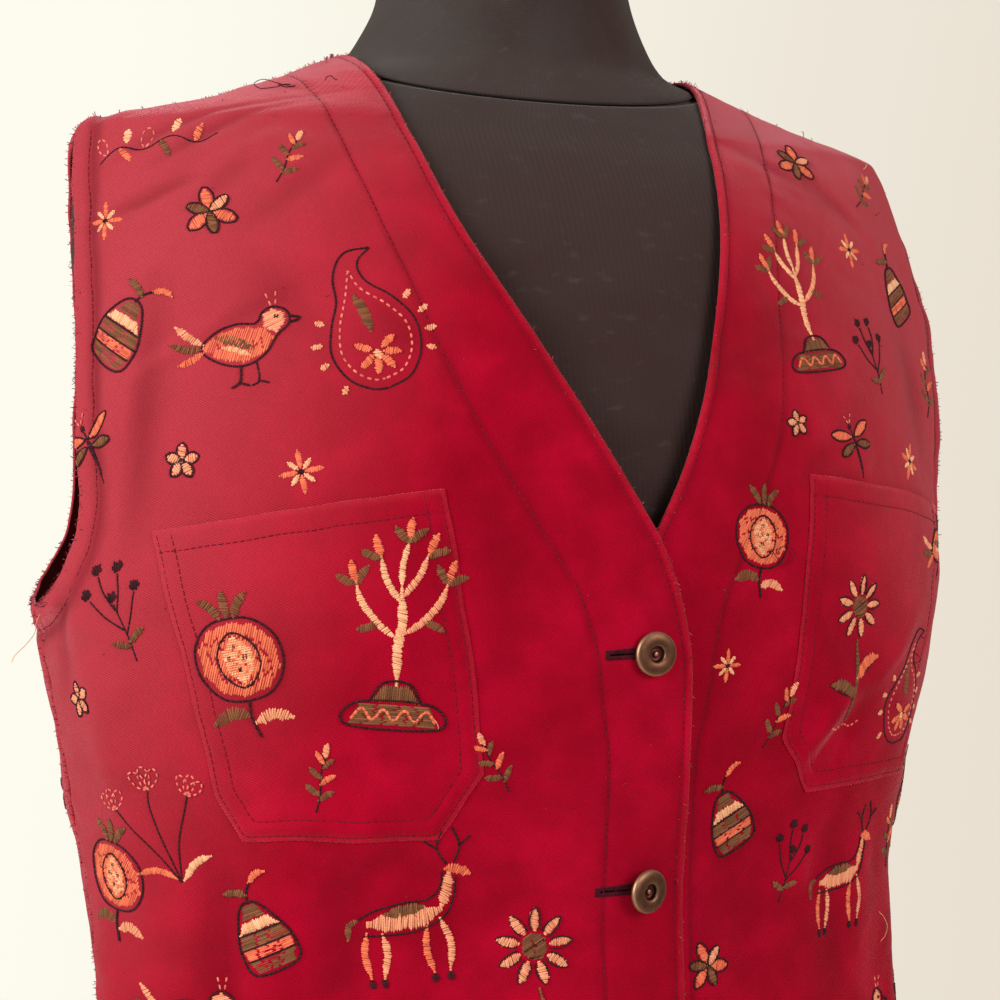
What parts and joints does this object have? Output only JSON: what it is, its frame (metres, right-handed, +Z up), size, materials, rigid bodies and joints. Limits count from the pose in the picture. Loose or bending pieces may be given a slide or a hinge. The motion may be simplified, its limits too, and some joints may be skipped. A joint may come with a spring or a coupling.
{
  "type": "embroidered vest on a limbless dress form",
  "caption": "Sleeveless V-neck cotton vest with patch pockets and a buttoned front, worn on a limbless tabletop dress form.",
  "frame": {"origin": "centre of the dress form's flat base, on the surface it stands on", "axes": "+Z up, the front of the vest faces -Y, the wearer's right side is at -X"},
  "size_m": [0.4119, 0.2499, 0.742],
  "materials": {
    "red_twill": "soft cotton twill with a light nap",
    "aged_brass": "antique, rubbed bright on the rim",
    "maroon_thread": "matt thread",
    "form_jersey": "matt charcoal jersey"
  },
  "bodies": {
    "root": {"right_front": "red_twill", "left_front": "red_twill", "back": "red_twill", "right_pocket": "red_twill", "left_pocket": "red_twill", "button_1": "aged_brass", "button_2": "aged_brass", "button_3": "aged_brass", "button_4": "aged_brass", "button_thread_1": "maroon_thread", "button_thread_2": "maroon_thread", "button_thread_3": "maroon_thread", "button_thread_4": "maroon_thread", "form_torso": "form_jersey", "form_neck": "form_jersey"}
  },
  "joints": []
}
